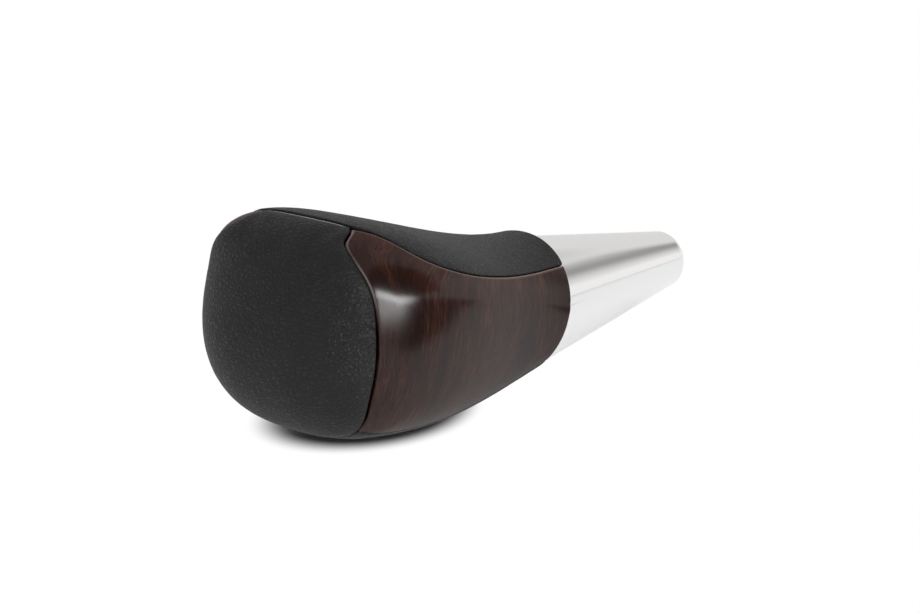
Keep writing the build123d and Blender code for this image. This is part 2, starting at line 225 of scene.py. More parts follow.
class HeadForm:
    """The head's form in the frame: sections across an axis that leans from the sleeve's axis."""

    def __init__(self, shape, sleeve):
        self.shape = shape
        axis = np.array(lever_mount["axis"])
        thread_middle = sleeve.insert_from_tip + sleeve.insert_length / 2
        self.tip = np.array(lever_mount["pos_m"]) + axis * thread_middle
        self.along = -axis
        self.front_of_sleeve = np.array([-axis[2], 0, axis[0]])
        self.neck = self.tip + self.along * sleeve.sleeve_length
        lean = shape.lean
        self.up = np.cos(lean) * self.along + np.sin(lean) * self.front_of_sleeve
        self.front = np.cos(lean) * self.front_of_sleeve - np.sin(lean) * self.along
        self.side = np.array([0.0, -1.0, 0.0])

    def spokes(self, count):
        """Turns evenly round the sleeve's axis, and steps out: cosine to the side, sine to the front."""
        turn = np.linspace(0, 2 * np.pi, count, endpoint=False)[None, :]
        return turn, np.cos(turn)[..., None] * self.side + np.sin(turn)[..., None] * self.front_of_sleeve

    def tube(self, radial, radius, distance):
        """Points of a turned surface: from the tip, a radius out and a distance along the axis."""
        return self.tip + radial * radius[..., None] + self.along * distance[..., None]

    def swept(self, neck, brow, swell, share):
        """Ease from neck to brow, plus a swell that peaks a third of the way up."""
        ease = share**2 * (3 - 2 * share)
        return neck + (brow - neck) * ease + swell * share * (1 - share) ** 2 / SWELL_PEAK

    def section(self, climb, inset):
        """Half width, front, rear, power, shift and height of the section at a climb.

        The climb goes from 0 at the neck to 1 at the brow and 2 at the crown, where the dome's
        height and width follow the sine and cosine of a quarter turn, raised to 2 / squareness.
        """
        s = self.shape
        share = np.clip(climb, 0, 1)
        bend = np.clip(climb - 1, 0, 1) * np.pi / 2
        power = 2 / s.dome_squareness
        rise = np.sin(bend) ** power
        shrink = np.clip(np.cos(bend), 0, 1) ** power
        half = self.swept(s.neck_half_width, s.brow_half_width, s.width_swell, share)
        front = self.swept(s.neck_half_depth, s.brow_front_depth, s.front_swell, share)
        rear = self.swept(s.neck_half_depth, s.brow_rear_depth, s.rear_swell, share)
        corner_power = 2 + (s.squareness - 2) * share**2
        height = share * s.brow_height + rise * (s.dome_height - inset)
        sizes = [(size - inset) * shrink for size in (half, front, rear)]
        return *sizes, corner_power, s.dome_shift * rise**2, height

    def points(self, turn, climb, inset):
        """Points on the form: a superellipse in each section, with its own front and rear depth."""
        half, front, rear, power, shift, height = self.section(climb, inset)
        depth = np.where(np.sin(turn) >= 0, front, rear)
        smallest = 1e-9
        reach = np.abs(np.cos(turn) / np.maximum(half, smallest)) ** power
        reach = reach + np.abs(np.sin(turn) / np.maximum(depth, smallest)) ** power
        radius = reach ** (-1 / power)
        across = radius * np.cos(turn)
        deep = shift + radius * np.sin(turn)
        place = across[..., None] * self.side + deep[..., None] * self.front + height[..., None] * self.up
        return self.neck + place

    def climb_at(self, height):
        """Climb of a height above the neck, the inverse of the section's height."""
        s = self.shape
        rise = np.clip((height - s.brow_height) / s.dome_height, 0, 1)
        bend = np.arcsin(np.clip(rise ** (s.dome_squareness / 2), 0, 1))
        return np.where(height < s.brow_height, height / s.brow_height, 1 + bend / (np.pi / 2))

    def turn_at(self, climb, depth):
        """Turn round the section, on its side half, at which the form has a given depth."""
        half, front, rear, power, shift, _ = self.section(climb, 0)
        deep = depth - shift
        reach = np.where(deep >= 0, front, rear)
        share = np.clip(np.abs(deep) / reach, 0, 1)
        across = half * (1 - share**power) ** (1 / power)
        return np.arctan2(deep, across)

    def depth_at(self, turn, climb):
        """Depth of the form at a turn and a climb."""
        return (self.points(turn, climb, 0) - self.neck) @ self.front


class TrimLines:
    """Side-view lines of the trim, each a smooth curve through a few points (height, depth)."""

    front_heights = np.array([0, 8, 14, 36, 45.6, 53, 58.5, 62, 64, 65.5]) * MM
    front_depths = np.array([9.9, 8.4, 7.6, 6.55, 6.7, 7.2, 7.95, 8.95, 9.95, 10.75]) * MM
    rear_heights = np.array([0, 8.7, 17, 36]) * MM
    rear_depths = np.array([-9.4, -13.9, -16.8, -20.8]) * MM
    edge_depths = np.array([-16.3, -10.2, -3.6, 0.4, 3.5]) * MM
    edge_heights = np.array([65.3, 67.2, 68.75, 69.7, 70.85]) * MM
    tip_depths = np.array([8.9, 9.95]) * MM
    tip_heights = np.array([70.9, 69.45]) * MM

    def __init__(self, trim):
        self.trim = trim

    def front(self, height):
        """Depth of the panels' front edge."""
        knots = np.append(self.front_heights, self.trim.seam_height)
        return smooth_curve(knots, np.append(self.front_depths, self.trim.seam_depth), height)

    def rear(self, height):
        """Depth of the panels' rear edge."""
        knots = np.append(self.rear_heights, self.trim.cap_rear_height)
        return smooth_curve(knots, np.append(self.rear_depths, self.trim.cap_rear_depth), height)

    def cap(self, depth):
        """Height of the cap's edge: a curve up to the horn and round its tip, then the seam in front.

        The seam rises in a straight line with depth, from its ends at the horns to its middle.
        """
        t = self.trim
        knots = np.concatenate(
            [[t.cap_rear_depth], self.edge_depths, [t.horn_depth], self.tip_depths, [t.seam_depth]]
        )
        heights = np.concatenate(
            [[t.cap_rear_height], self.edge_heights, [t.horn_height], self.tip_heights, [t.seam_height]]
        )
        curve = smooth_curve(knots, heights, depth)
        return np.where(depth > t.seam_depth, t.seam_height + t.seam_rise * (depth - t.seam_depth), curve)


def rounded(distance, radius):
    """Drop of a quarter-round edge at a distance from the edge: the radius at 0, nothing past it."""
    left = np.clip(1 - distance / radius, 0, 1)
    return radius * (1 - np.sqrt(1 - left**2))


def row_lengths(points, axis):
    """Distance along the grid's rows from their first point, and from their last one."""
    pieces = np.linalg.norm(np.diff(points, axis=axis), axis=2)
    start = np.cumsum(pieces, axis=axis)
    zero = np.zeros_like(np.take(start, [0], axis=axis))
    start = np.concatenate([zero, start], axis=axis)
    return start, np.take(start, [-1], axis=axis) - start


def leather_wave(points):
    """Slow unevenness of hand-laid leather: three crossed sines, about four hundredths of a mm."""
    x, y, z = np.moveaxis(points / MM, -1, 0)
    wave = np.sin(0.61 * x + 0.35 * y + 1.1) * np.sin(0.52 * z - 0.23 * x)
    wave += 0.7 * np.sin(0.93 * y - 0.41 * z + 2.0) * np.sin(0.37 * x + 0.8)
    wave += 0.5 * np.sin(1.31 * z + 0.77 * y) * np.sin(1.13 * y - 0.31 * x + 0.4)
    return WAVE_HEIGHT * wave


def grid_faces(rows, columns, first, closed, flip):
    """Quads of a grid of vertices numbered row by row, closed round its columns or open."""
    index = first + np.arange(rows * columns).reshape(rows, columns)
    if closed:
        index = np.concatenate([index, index[:, :1]], axis=1)
    quads = np.stack([index[:-1, :-1], index[:-1, 1:], index[1:, 1:], index[1:, :-1]], -1).reshape(-1, 4)
    return quads[:, ::-1] if flip else quads


def shell_faces(rows, columns, flip):
    """Quads of a closed shell: an outer and an inner grid, stitched along their four borders."""
    size = rows * columns
    outer = np.arange(size).reshape(rows, columns)
    ring = np.concatenate([outer[0, :], outer[1:, -1], outer[-1, -2::-1], outer[-2:0:-1, 0]])
    following = np.roll(ring, -1)
    wall = np.stack([ring, ring + size, following + size, following], -1)
    wall = wall[:, ::-1] if flip else wall
    front = grid_faces(rows, columns, 0, False, flip)
    back = grid_faces(rows, columns, size, False, not flip)
    return np.concatenate([front, back, wall])


def tube_faces(rows, columns):
    """Quads of a closed tube of rings, its last ring joined to its first."""
    ring = np.arange(columns)
    following = np.roll(ring, -1)
    last = (rows - 1) * columns
    end = np.stack([ring + last, following + last, following, ring], -1)
    return np.concatenate([grid_faces(rows, columns, 0, True, False), end])[:, ::-1]


def linked(name, data):
    """A new object in the scene."""
    item = bpy.data.objects.new(name, data)
    bpy.context.scene.collection.objects.link(item)
    return item


def make_piece(name, points, quads, material, maps=(), triangles=None):
    """A smooth mesh object from whole arrays, riding on the knob, with named UV maps."""
    points = points.reshape(-1, 3)
    mesh = bpy.data.meshes.new(name)
    extra = np.zeros((0, 3), int) if triangles is None else triangles
    loops = np.concatenate([quads.ravel(), extra.ravel()]).astype(np.int32)
    counts = np.concatenate([np.full(len(quads), 4), np.full(len(extra), 3)]).astype(np.int32)
    mesh.vertices.add(len(points))
    mesh.vertices.foreach_set("co", points.astype(np.float32).ravel())
    mesh.loops.add(len(loops))
    mesh.loops.foreach_set("vertex_index", loops)
    mesh.polygons.add(len(counts))
    mesh.polygons.foreach_set("loop_start", (np.cumsum(counts) - counts).astype(np.int32))
    mesh.polygons.foreach_set("use_smooth", np.ones(len(counts), bool))
    for map_name, values in maps:
        layer = mesh.uv_layers.new(name=map_name)
        layer.data.foreach_set("uv", values.reshape(-1, 2)[loops].astype(np.float32).ravel())
    mesh.update(calc_edges=True)
    if mesh.validate():
        raise RuntimeError(f"{name} has broken faces")
    mesh.materials.append(material)
    piece = linked(name, mesh)
    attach(piece, "root")
    return piece


class Nodes:
    """The node tree of a material, a light or the world, with short calls that add and join its nodes."""

    def __init__(self, owner):
        owner.use_nodes = True
        self.owner = owner
        self.tree = owner.node_tree

    def add(self, kind, inputs=(), **settings):
        """A node of a kind, its settings, and its inputs as values or as sockets to join."""
        node = self.tree.nodes.new(kind)
        for key, value in settings.items():
            setattr(node, key, value)
        for key, value in dict(inputs).items():
            self.join(value, node.inputs[key])
        return node

    def join(self, value, socket):
        """Links a socket, or sets a value on it."""
        if isinstance(value, bpy.types.NodeSocket):
            self.tree.links.new(value, socket)
        else:
            socket.default_value = value

    def finish(self, **values):
        """Sets or links a material's own sockets, named with spaces as underscores."""
        for key, value in values.items():
            self.join(value, self.tree.nodes["Principled BSDF"].inputs[key.replace("_", " ")])
        return self.owner

    def end(self, default, output, shader):
        """Shows a shader in place of the default one."""
        self.tree.nodes.remove(self.tree.nodes[default])
        self.join(shader, self.tree.nodes[output].inputs["Surface"])

    def object_place(self, scale=(1, 1, 1)):
        """Object coordinates, scaled."""
        place = self.add("ShaderNodeTexCoord").outputs["Object"]
        return self.add("ShaderNodeMapping", {"Vector": place, "Scale": scale}).outputs[0]

    def uv_place(self, name):
        """A place on one of the piece's UV maps."""
        return self.add("ShaderNodeUVMap", uv_map=name).outputs[0]

    def split(self, vector):
        """The X, Y and Z of a vector."""
        return self.add("ShaderNodeSeparateXYZ", {0: vector}).outputs

    def noise(self, place, scale, detail, roughness=0.5, distortion=0.0):
        """Noise value at a place."""
        inputs = {"Vector": place, "Scale": scale, "Detail": detail, "Roughness": roughness}
        return self.add("ShaderNodeTexNoise", {**inputs, "Distortion": distortion}).outputs[0]

    def ramp(self, value, low, high, to_low=0.0, to_high=1.0, way="SMOOTHSTEP"):
        """A value moved from one range to another."""
        names = ("Value", "From Min", "From Max", "To Min", "To Max")
        inputs = dict(zip(names, (value, low, high, to_low, to_high)))
        return self.add("ShaderNodeMapRange", inputs, interpolation_type=way).outputs[0]

    def maths(self, operation, first, second):
        """Two values joined by an operation."""
        return self.add("ShaderNodeMath", {0: first, 1: second}, operation=operation).outputs[0]

    def times(self, product, *values):
        """Values multiplied together."""
        for value in values:
            product = self.maths("MULTIPLY", product, value)
        return product

    def vector(self, operation, first, second=(0.0, 0.0, 0.0)):
        """Two vectors joined by an operation: its outputs, a vector and a value."""
        return self.add("ShaderNodeVectorMath", {0: first, 1: second}, operation=operation).outputs

    def layered(self, share, first, second):
        """A shader between two shaders."""
        return self.add("ShaderNodeMixShader", {0: share, 1: first, 2: second}).outputs[0]

    def mixed(self, share, first, second):
        """A colour between two colours."""
        return self.add("ShaderNodeMix", {0: share, 6: first, 7: second}, data_type="RGBA").outputs[2]

    def bump(self, height, distance, strength, normal=None):
        """A bump from a height, over another normal."""
        inputs = {"Height": height, "Distance": distance, "Strength": strength}
        if normal is not None:
            inputs["Normal"] = normal
        return self.add("ShaderNodeBump", inputs).outputs[0]


def tone(value):
    """A property's colour with full alpha."""
    return (*value, 1.0)


def leather_finish(finish, name, stretch, folded):
    """Black leather: small pebbles, fine wrinkles across them, pores, and a dull satin surface.

    The wrinkles are also lightened in colour as a painted highlight, and where the lip map is read,
    the lip gets a pale painted highlight.
    """
    nodes = Nodes(bpy.data.materials.new(name))
    plain = nodes.object_place()
    warp = nodes.add("ShaderNodeTexNoise", {"Vector": plain, "Scale": 700.0, "Detail": 2.0})
    place = nodes.object_place(stretch)
    offset = nodes.add("ShaderNodeVectorMath", {0: warp.outputs["Color"], 3: 0.0007}, operation="SCALE")
    bent = nodes.vector("ADD", place, offset.outputs[0])["Vector"]
    cells = nodes.add(
        "ShaderNodeTexVoronoi", {"Vector": bent, "Scale": 1500.0}, feature="DISTANCE_TO_EDGE"
    ).outputs["Distance"]
    pebble = nodes.ramp(cells, 0.0, 0.4)
    folds = nodes.noise(bent, 560.0, 3.0, 0.6, 0.8)
    away = nodes.maths("ABSOLUTE", nodes.maths("SUBTRACT", folds, 0.5), 0.0)
    line = nodes.ramp(away, 0.0, 0.035, 1.0, 0.0)
    where = nodes.ramp(nodes.noise(plain, 95.0, 2.0), 0.4, 0.66, 0.15, 1.0)
    crease_and_highlight = nodes.times(line, where)
    pores = nodes.noise(plain, 5200.0, 2.0)
    fine = nodes.bump(pores, 0.00002, 0.35)
    grain = nodes.bump(pebble, 0.0001, 0.9, fine)
    normal = nodes.bump(crease_and_highlight, 0.00013, 0.9, grain)
    patches = nodes.ramp(nodes.noise(plain, 260.0, 3.0), 0.3, 0.7, 0.2, 0.75)
    light = nodes.times(nodes.ramp(pebble, 0.0, 1.0, 0.45, 1.0), patches)
    # Painted highlight: the wrinkles are lightened in colour, on top of their bump.
    light = nodes.maths("MAXIMUM", light, crease_and_highlight)
    base = nodes.mixed(light, tone(finish.leather_dark), tone(finish.leather_light))
    # Painted highlight: the lip map paints a pale line on the cap's folded edge at the seam.
    if folded:
        edge = nodes.split(nodes.uv_place("lip_highlight"))["X"]
        base = nodes.mixed(nodes.ramp(edge, 0.0, 1.0, 0.0, 0.9), base, tone(finish.leather_lip_highlight))
    rough = nodes.ramp(pebble, 0.0, 1.0, 0.6, 0.48)
    return nodes.finish(Base_Color=base, Roughness=rough, Normal=normal, Specular_IOR_Level=0.32)


def wood_finish(finish):
    """Dark lacquered wood: fine streaks along the grain map, slow bands of tone, glossy coat.

    Pale colour is painted on the bevels as a highlight, brightest where the glint is painted.
    """
    nodes = Nodes(bpy.data.materials.new("dark_lacquered_wood"))
    grain = nodes.uv_place("grain")

    def streaks(across, along, detail, distortion=0.0):
        """Noise drawn out along the grain."""
        scale = (across, along, 1.0)
        place = nodes.add("ShaderNodeMapping", {"Vector": grain, "Scale": scale}).outputs[0]
        return nodes.noise(place, 1.0, detail, 0.55, distortion)

    bands = streaks(140.0, 45.0, 3.0, 0.6)
    middle = streaks(1600.0, 190.0, 3.0, 0.3)
    fine = streaks(4400.0, 520.0, 2.0)
    pores = nodes.ramp(streaks(2900.0, 420.0, 2.0), 0.55, 0.7)
    light = nodes.times(nodes.ramp(middle, 0.38, 0.75), nodes.ramp(bands, 0.3, 0.72, 0.25, 1.0))
    light = nodes.times(light, nodes.ramp(fine, 0.3, 0.7, 0.45, 1.25))
    base = nodes.mixed(light, tone(finish.wood_middle), tone(finish.wood_light))
    shade = nodes.ramp(bands, 0.35, 0.62, 0.55, 0.0)
    base = nodes.mixed(nodes.maths("MAXIMUM", shade, pores), base, tone(finish.wood_dark))
    edges = nodes.split(nodes.uv_place("bevel"))
    # Painted highlight: the bevel map mixes the wood towards a pale colour, and past 1 towards a brighter
    # painted glint.
    bevel_highlight = nodes.maths("MAXIMUM", edges["X"], nodes.times(edges["Y"], 0.8))
    base = nodes.mixed(nodes.ramp(bevel_highlight, 0.0, 1.0, 0.0, 0.9), base, tone(finish.wood_bevel_highlight))
    base = nodes.mixed(nodes.ramp(edges["X"], 0.9, 1.7), base, tone(finish.wood_glint))
    normal = nodes.bump(pores, -0.000012, 0.25)
    facing = nodes.add("ShaderNodeLayerWeight", {"Blend": 0.5}).outputs["Facing"]
    coat = nodes.ramp(facing, 0.25, 0.75, 0.56, 0.19)
    return nodes.finish(
        Base_Color=base, Roughness=0.5, Normal=normal, Specular_IOR_Level=0.03,
        Coat_Weight=coat, Coat_Roughness=0.185, Coat_IOR=1.5,
    )


def plain_finish(name, base, metallic, rough, grain, stretch=(1, 1, 1), bump=None):
    """A finish of one colour: a grain of noise drives its roughness, and its bump where it has one."""
    nodes = Nodes(bpy.data.materials.new(name))
    noise = nodes.noise(nodes.object_place(stretch), *grain)
    if bump is not None:
        nodes.finish(Normal=nodes.bump(noise, *bump))
    rough = nodes.ramp(noise, 0.3, 0.7, *rough)
    return nodes.finish(Base_Color=tone(base), Metallic=metallic, Roughness=rough)


def chrome_finish(finish):
    """Polished chrome with a faint change of gloss along the sleeve."""
    stretch = (60.0, 900.0, 900.0)
    return plain_finish("polished_chrome", finish.chrome, 1.0, (0.055, 0.085), (1.0, 3.0), stretch)


def alloy_finish(finish):
    """Die-cast alloy under a dull dark coat, a little uneven as castings are."""
    bump = (0.00005, 0.5)
    return plain_finish("coated_alloy", finish.alloy, 0.35, (0.55, 0.75), (900.0, 4.0), bump=bump)


def plastic_finish(finish):
    """Moulded black plastic with a fine spark-eroded grain."""
    bump = (0.00004, 0.4)
    return plain_finish("moulded_plastic", finish.plastic, 0.0, (0.52, 0.66), (2600.0, 3.0), bump=bump)


def steel_finish(finish):
    """Turned steel with fine rings."""
    stretch = (4000.0, 120.0, 120.0)
    bump = (0.00001, 0.3)
    return plain_finish("turned_steel", finish.steel, 1.0, (0.24, 0.4), (1.0, 2.0), stretch, bump)


def foam_finish(finish):
    """Dark open foam with small cells."""
    nodes = Nodes(bpy.data.materials.new("pad_foam_cells"))
    cells = nodes.add("ShaderNodeTexVoronoi", {"Vector": nodes.object_place(), "Scale": 1700.0}).outputs[0]
    normal = nodes.bump(cells, 0.0002, 0.6)
    shade = nodes.ramp(cells, 0.0, 0.6, 0.4, 1.0)
    base = nodes.mixed(shade, FOAM_SHADE, tone(finish.foam))
    return nodes.finish(Base_Color=base, Roughness=0.9, Normal=normal)


class KnobOperator(bpy.types.Operator):
    """What the operators share: the head's form, the trim's lines, and shells laid on the head."""

    bl_options = {"REGISTER", "UNDO"}

    def parts(self, context):
        """The head's form, the trim's lines and sizes, and the colours."""
        scene = context.scene
        form = HeadForm(scene.knob_head, scene.knob_sleeve)
        return form, TrimLines(scene.knob_trim), scene.knob_trim, scene.knob_finish

    def borders(self, form, turn, climb, radius):
        """A grid flush with the form, the distances from its four edges, and their quarter rounds."""
        flush = form.points(turn, climb, 0.0)
        sides = [*row_lengths(flush, 0), *row_lengths(flush, 1)]
        drop = np.sqrt(sum(rounded(side, radius) ** 2 for side in sides))
        return flush, sides, np.minimum(drop, radius)

    def shell(self, name, outer, inner, flip, material, slot, maps=()):
        """A closed shell made of an outer and an inner grid."""
        quads = shell_faces(*outer.shape[:2], flip)
        return make_piece(name, np.concatenate([outer, inner]), quads, material, maps)


class KNOB_OT_wood_panels(KnobOperator):
    """Lay the two lacquered wood panels on the sides of the head"""

    bl_idname = "shift_knob.wood_panels"
    bl_label = "Wood side panels"

    cap_spread = 1.25
    opening_depths = (-7 * MM, 3 * MM)
    bevel_widths = (1.4, 2.2)
    bevel_depths = (-5 * MM, 2 * MM)
    glint_depths = (-4 * MM, 0, 5 * MM, 7 * MM)

    def execute(self, context):
        form, lines, trim, finish = self.parts(context)
        material = wood_finish(finish)
        for name, mirror in (("right_wood_panel", False), ("left_wood_panel", True)):
            outer, inner, grain, bevel = self.panel(form, lines, trim, mirror)
            grain = np.concatenate([grain, grain])
            bevel = np.concatenate([bevel, 0 * bevel])
            maps = (("grain", grain), ("bevel", bevel))
            piece = self.shell(name + "_veneer", outer, inner, mirror, material, "wood", maps)
            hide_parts(name)
        return {"FINISHED"}

    def panel(self, form, lines, trim, mirror):
        """Outer and inner grid of a panel, its grain map and the map of its painted bevel highlight.

        The side view is a patch blended from four edges: the two side edges and the neck and cap
        edges, less the bilinear patch of the corners. Edges drop as quarter rounds.
        """
        half_gap = trim.gap / 2
        a = clustered(count=150, border=0.016, rows=9)[:, None]
        b = clustered(count=96, border=0.03, rows=9)[None, :]
        rear_top = lines.cap(np.array([trim.cap_rear_depth + half_gap]))[0] - half_gap
        front_top = lines.cap(np.array([trim.seam_depth - half_gap]))[0] - half_gap
        front_height = a * front_top
        rear_height = a * rear_top
        front_edge = np.stack([front_height, lines.front(front_height) - half_gap], -1)
        rear_edge = np.stack([rear_height, lines.rear(rear_height) + half_gap], -1)
        front_ends = front_edge[[0, -1], 0, 1]
        rear_ends = rear_edge[[0, -1], 0, 1]
        neck_edge = np.stack([0 * b, front_ends[0] + (rear_ends[0] - front_ends[0]) * b], -1)
        cap_depth = front_ends[1] + (rear_ends[1] - front_ends[1]) * b**self.cap_spread
        opening = half_gap + trim.rear_opening * np.interp(cap_depth, self.opening_depths, (1, 0))
        cap_edge = np.stack([lines.cap(cap_depth) - opening, cap_depth], -1)
        cap_edge[0, 0] = front_edge[-1, 0]
        cap_edge[0, -1] = rear_edge[-1, 0]
        a3 = a[..., None]
        b3 = b[..., None]
        corners = (1 - a3) * ((1 - b3) * neck_edge[0, 0] + b3 * neck_edge[0, -1])
        corners = corners + a3 * ((1 - b3) * cap_edge[0, 0] + b3 * cap_edge[0, -1])
        view = (1 - b3) * front_edge + b3 * rear_edge + (1 - a3) * neck_edge + a3 * cap_edge - corners
        climb = form.climb_at(view[..., 0])
        turn = form.turn_at(climb, view[..., 1])
        if mirror:
            turn = np.pi - turn
        _, sides, drop = self.borders(form, turn, climb, trim.panel_round)
        sink = trim.panel_sink * (1 - np.clip(sides[1] / trim.sink_reach, 0, 1)) ** 2
        sink = sink * np.clip(sides[2] / trim.sink_border, 0.3, 1)
        outer = form.points(turn, climb, drop + sink)
        inner = form.points(turn, climb, np.full_like(turn, trim.panel_thickness))
        grain = np.stack([np.broadcast_to(a * trim.horn_height, turn.shape), sides[2]], -1)
        return outer, inner, grain, self.bevel(trim, sides, view[..., 1])

    def bevel(self, trim, sides, depth):
        """Map of the painted bevel highlight: at the cap's edge, past 1 for the painted glint,
        and at the front edge.

        Each falls in a straight line with the distance from its edge. Along the cap's edge the painted
        highlight fades out to the rear, and the painted glint runs from the horn to the middle.
        """
        at_cap, at_front = (
            np.clip(1 - side / (width * trim.panel_round), 0, 1)
            for side, width in zip(sides[1:3], self.bevel_widths)
        )
        at_cap = at_cap * np.interp(depth, self.bevel_depths, (0, 1))
        glint = np.interp(depth, self.glint_depths, (0, 1, 1, 0))
        return np.stack([at_cap * (1 + glint), at_front], -1)


class KNOB_OT_leather_strips(KnobOperator):
    """Lay the leather strips on the front and the rear of the head"""

    bl_idname = "shift_knob.leather_strips"
    bl_label = "Leather strips"

    swell_border = 4
    least_swell = 0.5
    seam_swell = 1.6
    steps = 40

    def execute(self, context):
        form, lines, trim, finish = self.parts(context)
        material = leather_finish(finish, "strip_leather", (0.8, 1.0, 1.0), False)
        for name, rear in (("front_leather", False), ("rear_leather", True)):
            outer, inner = self.strip(form, lines, trim, rear)
            piece = self.shell(name + "_cover", outer, inner, rear, material, "leather")
            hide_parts(name)
        return {"FINISHED"}

    def strip(self, form, lines, trim, rear):
        """Outer and inner grid of a strip: turns between the panels' edges at each height.

        The front strip swells a little between its edges, more so towards the cap. The borders
        drop as quarter rounds into the tuck gaps. No point lies below the floor, which leaves the
        flat that the knob rests on.
        """
        half_gap = trim.gap / 2
        a = clustered(count=170, border=0.025, rows=9)[:, None]
        b = clustered(count=110, border=0.03, rows=9)[None, :]
        if rear:
            edge_top = lines.cap(np.array([trim.cap_rear_depth - half_gap]))[0] - half_gap
            height = a[:, 0] * edge_top
            edge = form.turn_at(form.climb_at(height), lines.rear(height) - half_gap)
            turn = -np.pi - edge[:, None] + (np.pi + 2 * edge[:, None]) * b
            top = self.edge_height(form, lines, turn[-1], edge_top) - half_gap
        else:
            height = a[:, 0] * trim.seam_height
            edge = form.turn_at(form.climb_at(height), lines.front(height) + half_gap)
            turn = edge[:, None] + (np.pi - 2 * edge[:, None]) * b
            top = self.edge_height(form, lines, turn[-1], trim.seam_height)
        climb = form.climb_at(a * top[None, :])
        flush, sides, drop = self.borders(form, turn, climb, trim.leather_round)
        swell = 0.0
        if not rear:
            across = np.minimum(sides[2], sides[3]) / (self.swell_border * trim.leather_round)
            near_seam = np.clip(1 - sides[1] / trim.seam_reach, 0, 1) ** 2
            swell = trim.leather_puff * np.clip(across, 0, 1) ** 0.5
            swell = swell * (self.least_swell + self.seam_swell * near_seam)
        outer = form.points(turn, climb, drop - swell + np.abs(leather_wave(flush)))
        outer[..., 2] = np.maximum(outer[..., 2], 0.0)
        inner = form.points(turn, climb, np.full_like(turn, trim.leather_thickness))
        return outer, inner

    def edge_height(self, form, lines, turn, start):
        """Height of the cap's edge at each turn, by quarter steps towards height = edge(depth)."""
        height = np.full_like(turn, start)
        for _ in range(self.steps):
            depth = form.depth_at(turn, form.climb_at(height))
            height = height + (lines.cap(depth) - height) / 4
        return height


class KNOB_OT_padded_cap(KnobOperator):
    """Stretch the padded leather cap over the rounded end of the head"""

    bl_idname = "shift_knob.padded_cap"
    bl_label = "Padded cap"

    turns = 288
    climbs = 110
    border = 0.05
    border_climbs = 14
    seam_fade = 0.08
    edge_climbs = (0.8, 1.98)
    halvings = 45

    def execute(self, context):
        form, lines, trim, finish = self.parts(context)
        cover = leather_finish(finish, "cap_leather_grain", (1.0, 0.62, 1.0), True)
        turn = np.linspace(0, 2 * np.pi, self.turns, endpoint=False) + np.pi / 2
        foot = self.edge_climb(form, lines, turn, trim.gap / 2)
        from_horn = (form.depth_at(turn, foot) - trim.horn_depth) / trim.pillow_width
        shoulder = trim.pillow * np.exp(-(from_horn**2))
        corner = form.turn_at(form.climb_at(np.array([trim.seam_height])), np.array([trim.seam_depth]))
        from_middle = np.abs((turn + np.pi / 2) % (2 * np.pi) - np.pi)
        seam = np.clip((np.pi / 2 - corner - from_middle) / self.seam_fade, 0, 1)

        def swell(from_edge):
            """Swell of the padding: a square law up to its reach, with a shoulder at the horns."""
            near = np.clip(1 - from_edge / trim.puff_reach, 0, 1)
            step = from_edge / trim.pillow_reach
            return trim.cap_puff * (1 - near**2) + shoulder * step * np.exp(1 - step)

        def lip_highlight(from_edge):
            """Map of the painted highlight on the lip along the seam, where the leather is folded under.
            """
            from_lip = np.abs(from_edge - trim.fold_middle)
            return seam * np.clip(1 - from_lip / trim.fold_half_width, 0, 1)

        self.dome("cap_leather_cover", form, turn, foot, trim.leather_round, 0.0, trim.leather_thickness,
                  cover, "leather", "cap_leather", swell, lip_highlight)
        pad_inset = trim.leather_thickness + trim.pad_gap
        pad_foot = self.edge_climb(form, lines, turn, trim.gap / 2 + trim.pad_lift)
        self.dome("cap_pad_foam", form, turn, pad_foot, trim.pad_round, pad_inset,
                  pad_inset + trim.pad_thickness, foam_finish(finish), "pad_foam", "cap_pad")
        return {"FINISHED"}

    def edge_climb(self, form, lines, turn, lift):
        """Climb of the cap's edge at each turn, where edge(depth) and the form agree, by halving."""
        low, high = (np.full_like(turn, climb) for climb in self.edge_climbs)
        for _ in range(self.halvings):
            middle = (low + high) / 2
            points = form.points(turn, middle, 0.0) - form.neck
            above = points @ form.up > lines.cap(points @ form.front) + lift
            high = np.where(above, middle, high)
            low = np.where(above, low, middle)
        return high

    def dome(self, name, form, turn, foot, edge_round, inset, inner_inset, material, slot, node,
             swell=np.zeros_like, lip_highlight=np.zeros_like):
        """A closed shell from its edge up to the crown: an outer and an inner dome of climbs.

        The outer dome swells with the distance from its edge, ends in a quarter round there and
        carries the slow leather wave. Its painted lip highlight map is read from that distance too.
        """
        edge = self.border * np.linspace(0, 1, self.border_climbs, endpoint=False) ** 1.4
        share = np.concatenate([edge, np.linspace(self.border, 1, self.climbs)[:-1]])
        climb = foot + (2 - foot) * share[:, None]
        turns = np.broadcast_to(turn, climb.shape)
        flush = form.points(turns, climb, inset)
        from_edge, _ = row_lengths(flush, 0)
        drop = inset + rounded(from_edge, edge_round) + np.abs(leather_wave(flush)) - swell(from_edge)
        outer = form.points(turns, climb, drop)
        inner = form.points(turns, climb, np.full_like(climb, inner_inset))
        crown, crown_inside = (
            form.points(np.zeros(1), np.full(1, 2.0), np.full(1, depth))
            for depth in (drop[-1].mean(), inner_inset)
        )
        rows, columns = outer.shape[:2]
        size = rows * columns
        points = np.concatenate([outer.reshape(-1, 3), inner.reshape(-1, 3), crown, crown_inside])
        folds = np.zeros((len(points), 2))
        folds[:size, 0] = lip_highlight(from_edge).ravel()
        ring = np.arange(columns)
        following = np.roll(ring, -1)
        wall = np.stack([ring, ring + size, following + size, following], -1)
        quads = np.concatenate([
            grid_faces(rows, columns, 0, True, False), grid_faces(rows, columns, size, True, True), wall
        ])
        last = size - columns
        top = np.stack([ring + last, following + last, np.full(columns, 2 * size)], -1)
        under = np.stack([following + last + size, ring + last + size, np.full(columns, 2 * size + 1)], -1)
        ends = np.concatenate([top, under])
        piece = make_piece(name, points, quads, material, (("lip_highlight", folds),), ends)
        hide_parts(node)


